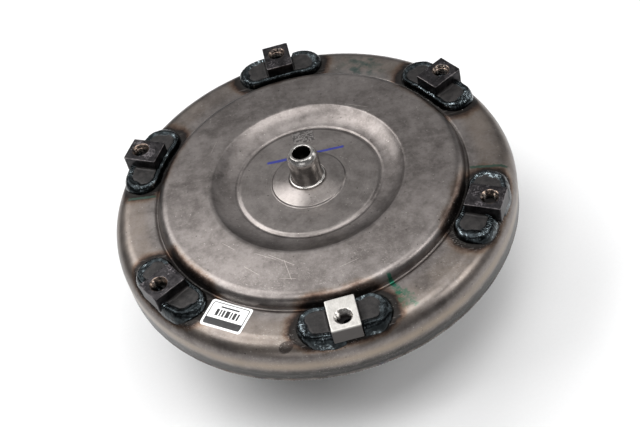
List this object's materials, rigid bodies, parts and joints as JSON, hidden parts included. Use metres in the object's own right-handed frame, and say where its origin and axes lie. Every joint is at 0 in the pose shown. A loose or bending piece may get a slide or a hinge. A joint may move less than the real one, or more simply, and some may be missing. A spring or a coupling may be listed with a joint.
{
  "type": "torque converter",
  "caption": "Round welded fluid coupling with a pilot hub, tapped lugs on the front rim and a slotted neck; bladed turbine, stator and lock-up clutch turn inside.",
  "frame": {"origin": "on the axis, at the lower end of the impeller hub, which it stands on", "axes": "+Z along the axis towards the pilot; -Y towards the bright lug block"},
  "size_m": [0.3004, 0.3004, 0.1488],
  "materials": {
    "stamped_steel": "stamped, oiled, heat tint by the welds",
    "machined_steel": "turned, bright",
    "lug_steel": "black scale, worn bright at the edges",
    "weld_scale": "glossy black weld scale",
    "weld_steel": "rippled weld bead",
    "shell_steel": "stamped, dull",
    "sheet_steel": "pressed sheet",
    "rivet_steel": "satin",
    "spring_steel": "oil tempered",
    "bearing_steel": "ground",
    "cage_steel": "phosphated",
    "friction_paper": "paper lining",
    "seal_rubber": "satin",
    "stator_aluminium": "die cast",
    "cap_plastic": "moulded"
  },
  "bodies": {
    "housing": {"front_cover": "stamped_steel", "pilot_hub": "machined_steel", "lug_pad_1": "weld_scale", "lug_block_1": "lug_steel", "lug_pad_2": "weld_scale", "lug_block_2": "lug_steel", "lug_pad_3": "weld_scale", "lug_block_3": "lug_steel", "lug_pad_4": "weld_scale", "lug_block_4": "machined_steel", "lug_pad_5": "weld_scale", "lug_block_5": "lug_steel", "lug_pad_6": "weld_scale", "lug_block_6": "lug_steel", "seam_weld": "weld_steel", "impeller_shell": "shell_steel", "impeller_blades": "sheet_steel", "impeller_core_ring": "sheet_steel", "impeller_hub": "machined_steel", "hub_thrust_plate": "machined_steel", "hub_weld": "weld_steel", "balance_weight": "shell_steel", "front_bearing_cover_race": "bearing_steel", "rear_bearing_hub_race": "bearing_steel"},
    "turbine": {"turbine_shell": "sheet_steel", "turbine_blades": "sheet_steel", "turbine_core_ring": "sheet_steel", "turbine_hub": "machined_steel", "turbine_rivets": "rivet_steel", "damper_hub_plate": "sheet_steel", "piston_seal_ring": "seal_rubber", "front_bearing_turbine_race": "bearing_steel", "middle_bearing_turbine_race": "bearing_steel"},
    "damper": {"damper_front_plate": "sheet_steel", "damper_rear_plate": "sheet_steel", "damper_spacer_rivets": "rivet_steel", "damper_springs": "spring_steel"},
    "piston": {"lockup_piston": "sheet_steel", "friction_ring": "friction_paper", "piston_drive_ring": "sheet_steel", "piston_rivets": "rivet_steel"},
    "stator": {"stator_wheel": "stator_aluminium", "clutch_outer_race": "machined_steel", "clutch_rollers": "bearing_steel", "clutch_springs": "spring_steel", "stator_rear_cap": "cap_plastic", "stator_front_cap": "cap_plastic", "stator_snap_ring": "rivet_steel", "middle_bearing_stator_race": "bearing_steel", "rear_bearing_stator_race": "bearing_steel"},
    "inner_race": {"clutch_inner_race": "machined_steel"},
    "front_cage": {"front_bearing_cage": "cage_steel", "front_bearing_needles": "bearing_steel"},
    "middle_cage": {"middle_bearing_cage": "cage_steel", "middle_bearing_needles": "bearing_steel"},
    "rear_cage": {"rear_bearing_cage": "cage_steel", "rear_bearing_needles": "bearing_steel"}
  },
  "joints": [
    {"name": "turbine_spin", "type": "hinge", "parent": "housing", "child": "turbine", "pos_m": [0, 0, 0.1], "axis": [0, 0, 1], "continuous": true},
    {"name": "damper_twist", "type": "hinge", "parent": "turbine", "child": "damper", "pos_m": [0, 0, 0.1045], "axis": [0, 0, 1], "range_deg": [-8, 8], "stiffness_Nm_per_rad": 600, "deforming": ["damper_springs"]},
    {"name": "piston_slide", "type": "slide", "parent": "damper", "child": "piston", "axis": [0, 0, 1], "range_m": [0, 0.00095]},
    {"name": "stator_spin", "type": "hinge", "parent": "housing", "child": "stator", "pos_m": [0, 0, 0.077], "axis": [0, 0, 1], "continuous": true},
    {"name": "inner_race_spin", "type": "hinge", "parent": "stator", "child": "inner_race", "pos_m": [0, 0, 0.076], "axis": [0, 0, 1], "continuous": true},
    {"name": "front_cage_spin", "type": "hinge", "parent": "housing", "child": "front_cage", "pos_m": [0, 0, 0.1136], "axis": [0, 0, 1], "continuous": true},
    {"name": "middle_cage_spin", "type": "hinge", "parent": "stator", "child": "middle_cage", "pos_m": [0, 0, 0.0884], "axis": [0, 0, 1], "continuous": true},
    {"name": "rear_cage_spin", "type": "hinge", "parent": "housing", "child": "rear_cage", "pos_m": [0, 0, 0.0635], "axis": [0, 0, 1], "continuous": true}
  ],
  "couplings": [
    {"joint": "front_cage_spin", "follows": "turbine_spin", "ratio": 0.5},
    {"joint": "middle_cage_spin", "follows": "turbine_spin", "ratio": 0.5},
    {"joint": "rear_cage_spin", "follows": "stator_spin", "ratio": 0.5}
  ]
}
